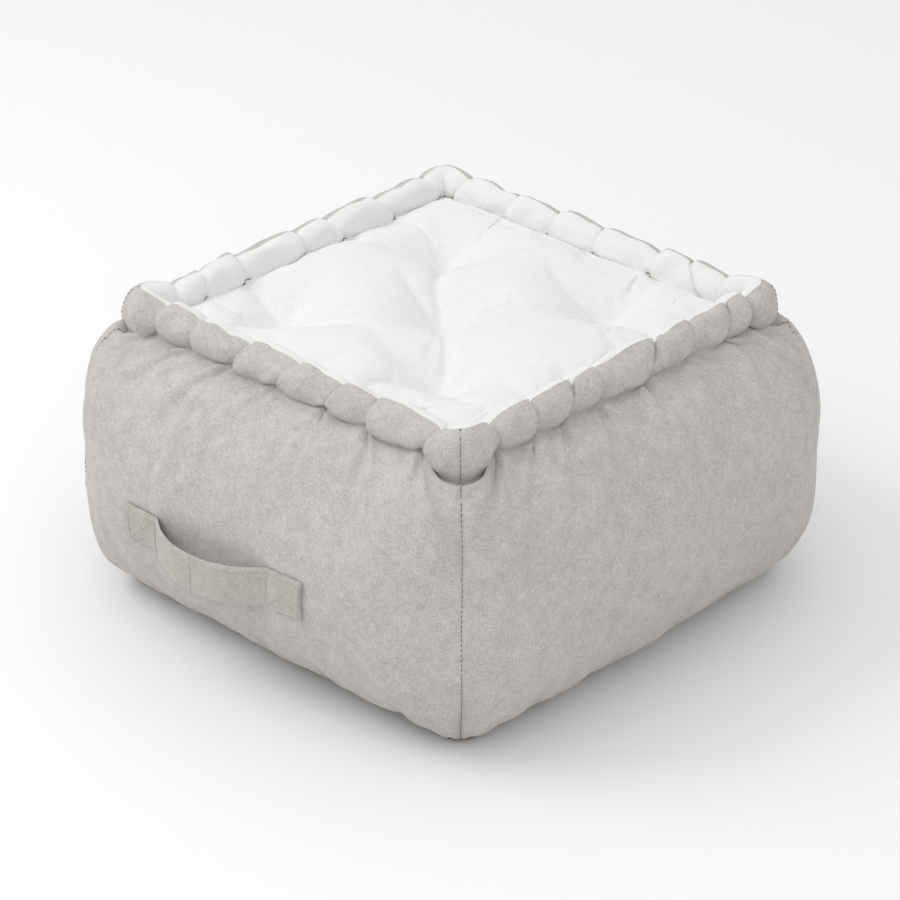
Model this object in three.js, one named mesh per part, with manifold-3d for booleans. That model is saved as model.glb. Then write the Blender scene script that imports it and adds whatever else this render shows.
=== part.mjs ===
// A square floor cushion: four grey side panels and a grey base, a white top that five ties pull
// down through the filling, a stuffed roll stitched along each top edge, and a carrying strap
// sewn to the front. Millimetres, +Z up, the strap on the -Y side, and the origin on the floor
// at the middle of the overall size.
import * as THREE from "three";
import { mergeVertices } from "three/addons/utils/BufferGeometryUtils.js";
import Module from "manifold-3d";

const wasm = await Module();
wasm.setup();

// The rolled edge: its crest is a square that carries the seam between top and sides.
const CREST_HALF = 206;
const CREST_HEIGHT = 310;
const ROLL_RADIUS = 21;
const ROLL_CORNER = 8; // corner radius in plan
const OUTER_CREASE_DEG = -35; // where the side panel folds under the roll, below the horizontal
const INNER_CREASE_DEG = 188; // where the top panel folds under it, on the other side

// The belly of the side panels: sizes of the plan outline at the base and at its widest.
const BELLY_HALF = 288.5;
const BELLY_HEIGHT = 118;
const BELLY_BULGE = 11.5; // how far the middle of a side stands out past its corners
const BELLY_CORNER = 128;
const BASE_HALF = 216;
const BASE_BULGE = 5;
const BASE_CORNER = 37;
const BELLY_POWER = { across: 1.7, up: 2.3 }; // exponents of the superellipse in each quarter

// The top panel between the rolls.
const PILLOW_RISE = 9; // above the inner crease
const TUFTS = [
  [-101, 98],
  [104, 112],
  [86, -102],
  [-122, -110],
  [-4, -8],
];
const TUFT_DEPTH = 30; // from the pillow's top down to the tie
const TUFT_RADIUS = 80; // where the dimple ends
const BASE_TUFT = { depth: 11, radius: 60 };

// Cloth, thread and filling.
const CLOTH = 1.6;
const GAP = 0.4; // between sewn pieces
const FILLING_GAP = 4.8; // between cloth and filling, which leaves room for the seam threads
const FILLING_RIM = 2; // how far the filling's upper rim stands in from its walls
const ROLL_FILLING_GAP = 3;
const THREAD_RADIUS = 0.7;
const TWINE_RADIUS = 1.2;
const TWINE_GAP = 1.2; // between the twine and the roll
const KNOT = { radius: 4.5, height: 3 };
const TIE_HOLE_CLEARANCE = 0.8;

// The carrying strap on the front panel.
const STRAP = { centreX: -17, centreZ: 131, length: 238, width: 40, thickness: 2.4 };
const SEWN_LENGTH = 46; // at each end
const STRAP_BOW = 24; // how far its middle stands off the panel
const LOOP_SPAN = 92; // the middle stretch, which swings
const STITCH = { width: 1, height: 0.6, inset: 4, gap: 0.6 };

// How finely the soft shapes are divided.
const COLUMNS = 14; // along a side, and across the base
const PILLOW_COLUMNS = 16; // across the top between the rolls
const CORNER_COLUMN = 0.035; // width of the columns beside each corner, as a share of half a side
const BELLY_ROWS = 8;
const ROLL_ROWS = 4;
const RING_COLUMNS = 6; // of a thread along each side
const THREAD_SIDES = 5;

const ROLL_HEIGHT = CREST_HEIGHT - ROLL_RADIUS;
const SIDES = ["front", "right", "back", "left"];
const GREY = new THREE.MeshStandardMaterial({ color: 0xb5b0a9, roughness: 0.95, metalness: 0 });
const WHITE = new THREE.MeshStandardMaterial({ color: 0xf0f0ec, roughness: 0.95, metalness: 0 });
const WADDING = new THREE.MeshStandardMaterial({ color: 0xe6e2d8, roughness: 1, metalness: 0 });
const THREAD = new THREE.MeshStandardMaterial({ color: 0x8d8377, roughness: 0.8, metalness: 0 });

const radians = THREE.MathUtils.degToRad;

// A station is one level of the cushion's outline: the half side of its square at the corners,
// how far the sides bulge, the corner radius, the height, and the outward normal in section.
function bellyStation(turn) {
  const angle = (turn * Math.PI) / 2;
  const low = turn < 0;
  const foot = low
    ? { half: BASE_HALF, bulge: BASE_BULGE, corner: BASE_CORNER, z: 0 }
    : { ...rollStation(OUTER_CREASE_DEG), bulge: 0, corner: ROLL_CORNER };
  const out = Math.pow(Math.max(Math.cos(angle), 0), 2 / BELLY_POWER.across);
  const up = Math.pow(Math.abs(Math.sin(angle)), 2 / BELLY_POWER.up);
  return {
    half: foot.half + (BELLY_HALF - foot.half) * out,
    bulge: foot.bulge + (BELLY_BULGE - foot.bulge) * out,
    corner: foot.corner + (BELLY_CORNER - foot.corner) * out,
    z: BELLY_HEIGHT + (foot.z - BELLY_HEIGHT) * up,
    normal: null,
  };
}

function rollStation(degrees, radius = ROLL_RADIUS) {
  const angle = radians(degrees);
  return {
    half: CREST_HALF + radius * Math.cos(angle),
    bulge: 0,
    corner: ROLL_CORNER,
    z: ROLL_HEIGHT + radius * Math.sin(angle),
    normal: [Math.cos(angle), Math.sin(angle)],
  };
}

// The stations with their normals, from the slope between neighbours unless they have one.
function withNormals(stations) {
  return stations.map((station, i) => {
    if (station.normal) return station;
    const before = stations[Math.max(i - 1, 0)];
    const after = stations[Math.min(i + 1, stations.length - 1)];
    const unit = (a, b) => {
      const length = Math.hypot(b.half - a.half, b.z - a.z) || 1;
      return [(b.z - a.z) / length, (a.half - b.half) / length];
    };
    const first = before === station ? unit(station, after) : unit(before, station);
    const second = after === station ? first : unit(station, after);
    const sum = [first[0] + second[0], first[1] + second[1]];
    const length = Math.hypot(...sum);
    return { ...station, normal: [sum[0] / length, sum[1] / length] };
  });
}

function inset(station, depth) {
  const inward = depth * station.normal[0];
  return {
    ...station,
    half: station.half - inward,
    corner: Math.max(station.corner - inward, 1),
    z: station.z - depth * station.normal[1],
  };
}

const range = (count, from, to) =>
  Array.from({ length: count + 1 }, (_, i) => from + ((to - from) * i) / count);
// Positions from -1 to 1: narrow columns by each corner, and even ones between them.
function steps(count, narrow) {
  const even = 1 - narrow * CORNER_COLUMN;
  const beside = range(narrow, even, 1).slice(1);
  const middle = range(count - 2 * narrow, -even, even);
  return [...beside.map((step) => -step).reverse(), ...middle, ...beside];
}
const SIDE_STEPS = steps(COLUMNS, 1);
const BELLY = withNormals(range(BELLY_ROWS, -1, 1).map(bellyStation));
const SIDE_STATIONS = withNormals([
  ...range(BELLY_ROWS, -1, 1).map(bellyStation),
  ...range(ROLL_ROWS, OUTER_CREASE_DEG, 90).slice(1).map((degrees) => rollStation(degrees)),
]);

// Half the length of one side, measured round the outline to the middle of its corner.
const halfLength = ({ half, corner }) => half - corner + (corner * Math.PI) / 4;

// A point of the outline: along runs from -1 to 1 from corner to corner of one side.
function outlinePoint(side, along, station) {
  const { half, corner, bulge, z } = station;
  const travel = Math.abs(along) * halfLength(station);
  const straight = half - corner;
  const turn = Math.max(travel - straight, 0) / corner;
  const stand = bulge * (1 - along * along);
  const across = Math.min(travel, straight) + (corner + stand) * Math.sin(turn);
  const out = straight + (corner + stand) * Math.cos(turn);
  const point = new THREE.Vector3(Math.sign(along) * across, -out, z);
  return point.applyAxisAngle(new THREE.Vector3(0, 0, 1), (side * Math.PI) / 2);
}

// A point of a square patch whose rings are scaled outlines; p and q run from -1 to 1.
function patchPoint(p, q, stationAt) {
  const ring = Math.max(Math.abs(p), Math.abs(q));
  const station = stationAt(ring);
  if (ring < 1e-9) return new THREE.Vector3(0, 0, station.z);
  if (Math.abs(q) >= Math.abs(p))
    return q < 0 ? outlinePoint(0, p / ring, station) : outlinePoint(2, -p / ring, station);
  return p > 0 ? outlinePoint(1, q / ring, station) : outlinePoint(3, -q / ring, station);
}

// A closed geometry from quads that face outwards; a triangle is a quad with its last corner
// repeated.
function solidFromQuads(quads) {
  const positions = [];
  for (const [a, b, c, d] of quads)
    for (const point of c === d ? [a, b, c] : [a, b, c, a, c, d])
      positions.push(point.x, point.y, point.z);
  const geometry = new THREE.BufferGeometry();
  geometry.setAttribute("position", new THREE.Float32BufferAttribute(positions, 3));
  return mergeVertices(geometry, 1e-3);
}

function gridQuads(grid, flip = false) {
  const quads = [];
  for (let i = 0; i + 1 < grid.length; i++)
    for (let j = 0; j + 1 < grid[i].length; j++) {
      const [a, b] = [grid[i][j], grid[i][j + 1]];
      const [c, d] = [grid[i + 1][j + 1], grid[i + 1][j]];
      quads.push(flip ? [a, d, c, b] : [a, b, c, d]);
    }
  return quads;
}

// A sheet between two grids of the same size: outer faces out, inner faces the other way.
function sheet(outer, inner) {
  const quads = [...gridQuads(outer), ...gridQuads(inner, true)];
  const rows = outer.length - 1;
  const columns = outer[0].length - 1;
  for (let j = 0; j < columns; j++) {
    quads.push([outer[0][j + 1], outer[0][j], inner[0][j], inner[0][j + 1]]);
    quads.push([outer[rows][j], outer[rows][j + 1], inner[rows][j + 1], inner[rows][j]]);
  }
  for (let i = 0; i < rows; i++) {
    quads.push([outer[i][0], outer[i + 1][0], inner[i + 1][0], inner[i][0]]);
    quads.push([outer[i + 1][columns], outer[i][columns], inner[i][columns], inner[i + 1][columns]]);
  }
  return solidFromQuads(quads);
}

// A thread of round section along points that lie in a plane with the given normal.
function thread(points, radius, normal, closed) {
  const count = points.length;
  const at = (i) => (closed ? points[(i + count) % count] : points[Math.min(Math.max(i, 0), count - 1)]);
  const rings = points.map((point, i) => {
    const out = new THREE.Vector3().subVectors(at(i + 1), at(i - 1)).cross(normal).normalize();
    const ring = range(THREAD_SIDES, 0, 2 * Math.PI).map((angle) =>
      point
        .clone()
        .addScaledVector(out, radius * Math.cos(angle))
        .addScaledVector(normal, radius * Math.sin(angle)),
    );
    ring[THREAD_SIDES] = ring[0];
    return ring;
  });
  if (closed) return solidFromQuads(gridQuads([...rings, rings[0]], true));
  return capped(rings);
}

// Rings of points joined into a bar, with a fan of triangles over each end.
function capped(rings) {
  const quads = gridQuads(rings, true);
  const last = rings[rings.length - 1];
  for (let i = 1; i + 2 < rings[0].length; i++) {
    quads.push([rings[0][0], rings[0][i], rings[0][i + 1], rings[0][i + 1]]);
    quads.push([last[0], last[i + 1], last[i], last[i]]);
  }
  return solidFromQuads(quads);
}

function plain(geometry) {
  geometry.deleteAttribute("normal");
  geometry.deleteAttribute("uv");
  return mergeVertices(geometry, 1e-3);
}

// Boolean cuts and joins.
function toManifold(geometry) {
  return new wasm.Manifold(
    new wasm.Mesh({
      numProp: 3,
      vertProperties: new Float32Array(geometry.attributes.position.array),
      triVerts: new Uint32Array(geometry.index.array),
    }),
  );
}

function fromManifold(solid) {
  const { vertProperties, triVerts, numProp } = solid.getMesh();
  const positions = new Float32Array((vertProperties.length / numProp) * 3);
  for (let i = 0; i * 3 < positions.length; i++)
    positions.set(vertProperties.subarray(i * numProp, i * numProp + 3), i * 3);
  const geometry = new THREE.BufferGeometry();
  geometry.setAttribute("position", new THREE.BufferAttribute(positions, 3));
  geometry.setIndex(new THREE.BufferAttribute(triVerts, 1));
  return geometry;
}

const cut = (geometry, tools) =>
  fromManifold(tools.reduce((left, tool) => left.subtract(toManifold(tool)), toManifold(geometry)));
const join = (pieces) =>
  fromManifold(pieces.slice(1).reduce((sum, p) => sum.add(toManifold(p)), toManifold(pieces[0])));

// Side panels: cloth from the base seam up the belly, into the crease and over the roll.
function sidePanel(side) {
  const grid = (depth) =>
    SIDE_STATIONS.map((station) => {
      const level = inset(station, depth);
      const reach = 1 - GAP / 2 / halfLength(level);
      return SIDE_STEPS.map((step) => outlinePoint(side, step * reach, level));
    });
  const edge = GAP / 2 / ROLL_RADIUS;
  const outer = grid(0);
  const inner = grid(CLOTH);
  for (const rows of [outer, inner]) trimRow(rows, edge);
  return sheet(outer, inner);
}

// The last row stops short of the crest, to leave the seam's gap.
function trimRow(rows, share) {
  const last = rows.length - 1;
  const step = share / radians((90 - OUTER_CREASE_DEG) / ROLL_ROWS);
  rows[last] = rows[last].map((point, j) => point.lerp(rows[last - 1][j], step));
}

// The top panel's height between the rolls: a low pillow with a dimple at each tie.
const INNER_CREASE = rollStation(INNER_CREASE_DEG);
function topHeight(x, y) {
  const room = (t) => Math.max(1 - Math.pow(Math.abs(t) / INNER_CREASE.half, 4), 0);
  const rise = PILLOW_RISE * Math.sqrt(room(x) * room(y));
  const fall = TUFT_DEPTH * dimples(x, y, TUFT_RADIUS);
  return INNER_CREASE.z + rise - fall * Math.min(1, room(x) * room(y) * 1.5);
}

// One at each tie, falling to nothing at the radius.
const dimples = (x, y, radius) =>
  TUFTS.reduce((sum, [tx, ty]) => {
    const share = 1 - ((x - tx) ** 2 + (y - ty) ** 2) / radius ** 2;
    return sum + Math.max(share, 0) ** 2;
  }, 0);

const baseHeight = (x, y) => BASE_TUFT.depth * dimples(x, y, BASE_TUFT.radius);

const flatRing = (outline, ring) => ({
  half: outline.half * ring,
  bulge: outline.bulge * ring,
  corner: Math.max(outline.corner * ring, 0.5 * ring),
  z: outline.z,
});

const squareGrid = (places, pointAt) => places.map((q) => places.map((p) => pointAt(p, q)));

// White cloth: the tufted square, up round the inside of the roll to the crest.
function topPanel() {
  const places = steps(PILLOW_COLUMNS + 2 * ROLL_ROWS, ROLL_ROWS);
  const creaseRing = 1 - ROLL_ROWS * CORNER_COLUMN;
  const crestDegrees = 90 + THREE.MathUtils.radToDeg(GAP / 2 / ROLL_RADIUS);
  const grid = (depth) =>
    squareGrid(places, (p, q) => {
      const ring = Math.max(Math.abs(p), Math.abs(q));
      const climb = (ring - creaseRing) / (1 - creaseRing);
      if (climb > 1e-6) {
        const degrees = INNER_CREASE_DEG + (crestDegrees - INNER_CREASE_DEG) * climb;
        return patchPoint(p, q, () => rollStation(degrees, ROLL_RADIUS - depth));
      }
      const share = ring / creaseRing;
      const point = patchPoint(p, q, () => flatRing(INNER_CREASE, share));
      point.z = topHeight(point.x, point.y) - depth;
      return point;
    });
  return cut(sheet(grid(0), grid(CLOTH)), TUFTS.map(tieHole));
}

function basePanel() {
  const outline = { ...BELLY[0], half: BASE_HALF - CLOTH };
  const grid = (depth) =>
    squareGrid(SIDE_STEPS, (p, q) => {
      const point = patchPoint(p, q, (ring) => flatRing(outline, ring));
      point.z = baseHeight(point.x, point.y) + depth;
      return point;
    });
  return cut(sheet(grid(CLOTH), grid(0)), TUFTS.map(tieHole));
}

function cylinderAt(x, y, radius, low, high, sides = 8) {
  const geometry = new THREE.CylinderGeometry(radius, radius, high - low, sides);
  geometry.rotateX(Math.PI / 2);
  geometry.translate(x, y, (low + high) / 2);
  return plain(geometry);
}

const tieHole = ([x, y]) =>
  cylinderAt(x, y, TWINE_RADIUS + TIE_HOLE_CLEARANCE, -CLOTH, CREST_HEIGHT + CLOTH);

// The body's filling: one stuffed block inside the panels, bored for the ties.
function bodyFilling() {
  const depth = CLOTH + FILLING_GAP;
  const places = steps(PILLOW_COLUMNS + 4, 2);
  const shoulder = ROLL_HEIGHT - ROLL_RADIUS - FILLING_GAP;
  const stations = BELLY.map((station) => inset(station, depth));
  stations.forEach((station) => (station.z = THREE.MathUtils.clamp(station.z, depth, shoulder)));
  const rim = stations[stations.length - 1];
  rim.half -= FILLING_RIM;
  const walls = SIDES.flatMap((_, side) =>
    gridQuads(stations.map((level) => places.map((step) => outlinePoint(side, step, level)))),
  );
  const floor = squareGrid(places, (p, q) => {
    const point = patchPoint(p, q, (ring) => flatRing(stations[0], ring));
    point.z = depth + (isInside(p, q) ? baseHeight(point.x, point.y) : 0);
    return point;
  });
  const roof = squareGrid(places, (p, q) => {
    const share = Math.max(Math.abs(p), Math.abs(q)) / (1 - 2 * CORNER_COLUMN);
    const pillow = flatRing(INNER_CREASE, Math.min(share, 1));
    const point = patchPoint(p, q, () => (isInside(p, q) ? pillow : rim));
    point.z = share < 1.001 ? topHeight(point.x, point.y) - depth : shoulder;
    return point;
  });
  const block = solidFromQuads([...walls, ...gridQuads(floor, true), ...gridQuads(roof)]);
  return cut(block, TUFTS.map(tieHole));
}

const isInside = (p, q) => Math.max(Math.abs(p), Math.abs(q)) < 0.999;

// The filling of one rolled edge: a round bar with mitred ends.
function rollFilling(side) {
  const radius = ROLL_RADIUS - CLOTH - ROLL_FILLING_GAP;
  const sides = 10;
  const rings = range(2, -1, 1).map((end) =>
    range(sides, 0, 360).map((degrees) => {
      const station = rollStation(degrees, radius);
      const reach = 1 - GAP / halfLength(station);
      return outlinePoint(side, end * reach, station);
    }),
  );
  rings.forEach((ring) => (ring[sides] = ring[0]));
  return capped(rings);
}

// A tie: twine through the whole cushion, with a knot on the top cloth and one under the base.
function tuftTie([x, y], top, base) {
  const column = toManifold(cylinderAt(x, y, KNOT.radius, -CLOTH, CREST_HEIGHT));
  const high = toManifold(top).intersect(column).boundingBox().max[2] + GAP;
  const low = toManifold(base).intersect(column).boundingBox().min[2] - GAP;
  const profile = [
    [0, low - KNOT.height],
    [KNOT.radius * 0.7, low - KNOT.height],
    [KNOT.radius, low - KNOT.height / 2],
    [KNOT.radius * 0.7, low],
    [TWINE_RADIUS, low],
    [TWINE_RADIUS, high],
    [KNOT.radius * 0.7, high],
    [KNOT.radius, high + KNOT.height / 2],
    [KNOT.radius * 0.7, high + KNOT.height],
    [0, high + KNOT.height],
  ].map(([radius, z]) => new THREE.Vector2(radius, z));
  const geometry = new THREE.LatheGeometry(profile, 8);
  geometry.rotateX(Math.PI / 2);
  geometry.translate(x, y, 0);
  return plain(geometry);
}

// The threads of the seams run just inside the cloth.
const THREAD_DEPTH = CLOTH + GAP + THREAD_RADIUS + 0.4;
const UP = new THREE.Vector3(0, 0, 1);

function cornerSeam(side) {
  const rows = SIDE_STATIONS.slice(1, -1).map((station) => inset(station, THREAD_DEPTH));
  const across = UP.clone().cross(outlinePoint(side, 1, SIDE_STATIONS[0])).normalize();
  return thread(rows.map((level) => outlinePoint(side, 1, level)), THREAD_RADIUS, across, false);
}

function ring(station, radius) {
  const points = SIDES.flatMap((_, side) =>
    steps(RING_COLUMNS, 1)
      .slice(0, -1)
      .map((along) => outlinePoint(side, along, station)),
  );
  return thread(points, radius, UP, true);
}

const crestSeam = () => ring(rollStation(90, ROLL_RADIUS - THREAD_DEPTH), THREAD_RADIUS);
const baseSeam = () =>
  ring({ ...BELLY[0], half: BASE_HALF - THREAD_DEPTH, z: THREAD_DEPTH }, THREAD_RADIUS);

// Twine in the creases on both sides of the roll.
function edgeTwine(degrees, level) {
  const radius = ROLL_RADIUS + TWINE_GAP + TWINE_RADIUS;
  const rise = level + GAP + TWINE_RADIUS - ROLL_HEIGHT;
  const side = Math.sign(Math.cos(radians(degrees)));
  const reach = side * Math.sqrt(radius * radius - rise * rise);
  const station = { half: CREST_HALF + reach, bulge: 0, corner: ROLL_CORNER };
  return ring({ ...station, z: ROLL_HEIGHT + rise }, TWINE_RADIUS);
}

// Where the outside of the front panel is, as a distance in front of the origin.
function frontDepth(x, z) {
  const top = BELLY[BELLY_ROWS];
  const low = z < BELLY_HEIGHT;
  const foot = low ? BELLY[0] : top;
  const up = Math.abs((z - BELLY_HEIGHT) / (foot.z - BELLY_HEIGHT));
  const out = Math.pow(1 - Math.pow(up, BELLY_POWER.up), 1 / BELLY_POWER.across);
  const mix = (from, to) => from + (to - from) * out;
  const station = {
    half: mix(foot.half, BELLY_HALF),
    corner: mix(foot.corner, BELLY_CORNER),
    bulge: mix(foot.bulge, BELLY_BULGE),
  };
  const along = Math.abs(x) / halfLength(station);
  return station.half + station.bulge * (1 - along * along);
}

// The strap stands off the panel by nothing where it is sewn, and most in its middle.
function strapDepth(x, z, depth) {
  const free = STRAP.length / 2 - SEWN_LENGTH;
  const along = Math.min(Math.abs(x - STRAP.centreX) / free, 1);
  const level = THREE.MathUtils.lerp(frontDepth(x, STRAP.centreZ), frontDepth(x, z), along);
  return level + STRAP_BOW * (1 - along * along) + STRAP_PAD + depth;
}
const STRAP_PAD = 1; // clearance over the faceted panel

function strapPiece(columns) {
  const rows = range(4, -STRAP.width / 2, STRAP.width / 2);
  const grid = (depth) =>
    rows.map((dz) =>
      columns.map(
        (x) => new THREE.Vector3(x, -strapDepth(x, STRAP.centreZ + dz, depth), STRAP.centreZ + dz),
      ),
    );
  return sheet(grid(STRAP.thickness), grid(0));
}

const LOOP_FROM = STRAP.centreX - LOOP_SPAN / 2;
const LOOP_TO = STRAP.centreX + LOOP_SPAN / 2;
const STRAP_FROM = STRAP.centreX - STRAP.length / 2;
const STRAP_TO = STRAP.centreX + STRAP.length / 2;

// An end's columns run evenly over its sewn part, and evenly from there to the loop.
function strapEnd(tip, direction) {
  const sewn = tip + direction * SEWN_LENGTH;
  const free = STRAP.centreX - direction * (LOOP_SPAN / 2 + GAP / 2);
  const columns = [...range(4, tip, sewn), ...range(4, sewn, free).slice(1)];
  return strapPiece(direction > 0 ? columns : columns.reverse());
}

// The box and cross sewn through the end of the strap that starts there: raised thread.
function boxStitch(start) {
  const from = start + STITCH.inset;
  const to = start + SEWN_LENGTH - STITCH.inset;
  const low = STRAP.centreZ - STRAP.width / 2 + STITCH.inset;
  const high = STRAP.centreZ + STRAP.width / 2 - STITCH.inset;
  const corners = [
    [from, low],
    [to, low],
    [to, high],
    [from, high],
  ];
  const lines = [
    ...corners.map((corner, i) => [corner, corners[(i + 1) % corners.length]]),
    [corners[0], corners[2]],
    [corners[1], corners[3]],
  ];
  return join(lines.map(([a, b]) => stitchLine(a, b)));
}

function stitchLine([x0, z0], [x1, z1]) {
  const length = Math.hypot(x1 - x0, z1 - z0);
  const [dx, dz] = [(x1 - x0) / length, (z1 - z0) / length];
  const half = STITCH.width / 2;
  const place = (travel, across, depth) => {
    const x = x0 + dx * travel - dz * across;
    const z = z0 + dz * travel + dx * across;
    return new THREE.Vector3(x, -strapDepth(x, z, STRAP.thickness + STITCH.gap + depth), z);
  };
  const grid = (depth) =>
    [-half, half].map((across) =>
      range(3, -half, length + half).map((travel) => place(travel, across, depth)),
    );
  return sheet(grid(STITCH.height), grid(0));
}

const cushion = new THREE.Group();
function add(name, geometry, material) {
  const mesh = new THREE.Mesh(geometry, material);
  mesh.name = name;
  cushion.add(mesh);
}

const top = topPanel();
const base = basePanel();
add("top_panel", top, WHITE);
add("base_panel", base, GREY);
add("body_filling", bodyFilling(), WADDING);
SIDES.forEach((name, side) => {
  const next = SIDES[(side + 1) % SIDES.length];
  add(`side_panel_${name}`, sidePanel(side), GREY);
  add(`roll_filling_${name}`, rollFilling(side), WADDING);
  add(`corner_seam_${name}_${next}`, cornerSeam(side), THREAD);
});
TUFTS.forEach((place, i) => add(`tuft_tie_${i + 1}`, tuftTie(place, top, base), THREAD));
add("crest_seam", crestSeam(), THREAD);
add("base_seam", baseSeam(), THREAD);
add("edge_twine_outer", edgeTwine(OUTER_CREASE_DEG, BELLY[BELLY_ROWS].z), THREAD);
add("edge_twine_inner", edgeTwine(INNER_CREASE_DEG, INNER_CREASE.z + 3), THREAD);
add("handle_end_left", strapEnd(STRAP_FROM, 1), GREY);
add("handle_loop", strapPiece(range(10, LOOP_FROM + GAP / 2, LOOP_TO - GAP / 2)), GREY);
add("handle_end_right", strapEnd(STRAP_TO, -1), GREY);
add("handle_stitch_left", boxStitch(STRAP_FROM), THREAD);
add("handle_stitch_right", boxStitch(STRAP_TO - SEWN_LENGTH), THREAD);

const overall = new THREE.Box3().setFromObject(cushion);
const middle = overall.getCenter(new THREE.Vector3());
cushion.position.set(-middle.x, -middle.y, -overall.min.z);

export default cushion;
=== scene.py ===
"""The looks of a square floor cushion: a canvas cover on loose filling, a rolled edge, a tufted
top and a carrying strap. Metres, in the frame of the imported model."""

import math

import bpy
import numpy as np
from bpy.props import FloatProperty, FloatVectorProperty, PointerProperty
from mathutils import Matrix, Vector
from mathutils.bvhtree import BVHTree


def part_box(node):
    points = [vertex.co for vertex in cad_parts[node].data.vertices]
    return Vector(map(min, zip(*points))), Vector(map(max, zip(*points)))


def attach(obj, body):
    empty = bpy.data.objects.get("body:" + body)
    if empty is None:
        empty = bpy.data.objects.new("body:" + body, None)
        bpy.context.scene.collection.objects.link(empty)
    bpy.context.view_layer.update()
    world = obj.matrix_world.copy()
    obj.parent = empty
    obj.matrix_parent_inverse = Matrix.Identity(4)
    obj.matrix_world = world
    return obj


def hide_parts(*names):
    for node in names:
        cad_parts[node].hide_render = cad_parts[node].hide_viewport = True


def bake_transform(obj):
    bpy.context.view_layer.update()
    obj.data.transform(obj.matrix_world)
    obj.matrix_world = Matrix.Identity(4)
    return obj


bl_info = {
    "name": "Floor Cushion",
    "version": (1, 0, 0),
    "blender": (4, 5, 0),
    "location": "3D View > Sidebar > Floor Cushion",
    "description": "Builds a square canvas floor cushion with rolled edges and a carrying strap",
    "category": "Object",
}

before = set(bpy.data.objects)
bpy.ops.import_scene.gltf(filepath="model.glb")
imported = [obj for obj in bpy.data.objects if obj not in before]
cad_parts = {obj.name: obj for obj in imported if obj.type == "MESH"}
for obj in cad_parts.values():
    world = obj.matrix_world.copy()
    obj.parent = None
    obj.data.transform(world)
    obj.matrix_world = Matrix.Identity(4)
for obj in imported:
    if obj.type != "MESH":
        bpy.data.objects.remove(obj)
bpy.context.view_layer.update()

MM = 0.001
SIDES = ("front", "right", "back", "left")
BASE_LOW, BASE_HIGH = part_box("base_panel")
CENTRE = np.array([(BASE_LOW.x + BASE_HIGH.x) / 2, (BASE_LOW.y + BASE_HIGH.y) / 2, 0.0])
TOP_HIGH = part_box("top_panel")[1]
STRAP_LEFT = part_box("handle_end_left")[0].x - CENTRE[0]
STRAP_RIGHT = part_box("handle_end_right")[1].x - CENTRE[0]

COLUMNS = 96  # along each side, from corner seam to corner seam
BELLY_ROWS = 56  # from the base seam up to the outer crease
ROLL_ROWS = 16  # from the outer crease over the crest to the inner crease
OUTER_CREASE = math.radians(-46)  # where the side panel folds under the roll
INNER_CREASE = math.radians(190)  # where the seat folds under the roll
CREST = math.pi / 2
CREST_ROW = BELLY_ROWS + round(ROLL_ROWS * (CREST - OUTER_CREASE) / (INNER_CREASE - OUTER_CREASE))
OUTER_REACH = 0.016  # how far outside the crest the outer crease runs, seen from above
INNER_REACH = 0.019  # how far inside the crest the inner crease runs
CREST_CORNER = 0.012  # corner radius along the crest
CORNER_PUFF = np.array([1.0, 1.0, 1.0, 0.3])  # left front, front right, right back, back left
TIE_REACH = 0.006  # the cloth this near to a tie is held by it
FILL_STEPS = 22  # frames of the cloth simulation
COVER_CAP = 0.012  # how far it may move a point of the sides or the seat
ROLL_CAP = 0.0022  # and a point of the rolls

STRAP_MIDDLE = (STRAP_LEFT + STRAP_RIGHT) / 2  # across, from the middle of the cushion
STRAP_HALF = (STRAP_RIGHT - STRAP_LEFT) / 2
SEWN = 0.046  # how much of each end is sewn down
STRAP_FREE = STRAP_HALF - SEWN
STRAP_RISE = 0.008  # how much higher the right end is sewn
STRAP_MID_Z = 0.1315
STRAP_BOW = 0.0235  # how far the middle of its loop stands off the cover
STRAP_DROOP = 0.004  # how far the loop sags
STRAP_THICK = 0.0026

made = {}  # what the cover operator leaves for the others: its ring numbers, rows and seat


def length(name, default, about):
    """A size in metres."""
    return FloatProperty(name=name, description=about, default=default, min=0.0, unit="LENGTH")


def colour(name, default, about):
    """A colour that the user can change."""
    return FloatVectorProperty(
        name=name, description=about, default=default, size=3, min=0.0, max=1.0, subtype="COLOR"
    )


class CushionSizes(bpy.types.PropertyGroup):
    """The sizes that set the cushion's shape."""

    crest_half: length("Crest half", 0.206, "Half the side of the square along the rolls' crest")
    crest_height: length("Crest height", TOP_HIGH.z, "Height of the rolls' crest")
    roll_radius: length("Roll radius", 0.0192, "Radius of the rolled edge")
    belly_half: length("Belly half", 0.2885, "Half the side of the square at the widest level")
    belly_height: length("Belly height", 0.118, "Height of the widest level")
    belly_bulge: length("Belly bulge", 0.0115, "How far the middle of a side stands out")
    belly_corner: length("Belly corner", 0.128, "Corner radius at the widest level")
    base_half: length("Base half", 0.2155, "Half the side of the base")
    base_corner: length("Base corner", 0.012, "Corner radius of the base")
    pillow_rise: length("Pillow rise", 0.012, "How far the seat swells over its edge")
    tuft_depth: length("Tuft depth", 0.034, "How far the ties pull the seat down")
    strap_width: length("Strap width", 0.040, "Width of the carrying strap")


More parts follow.
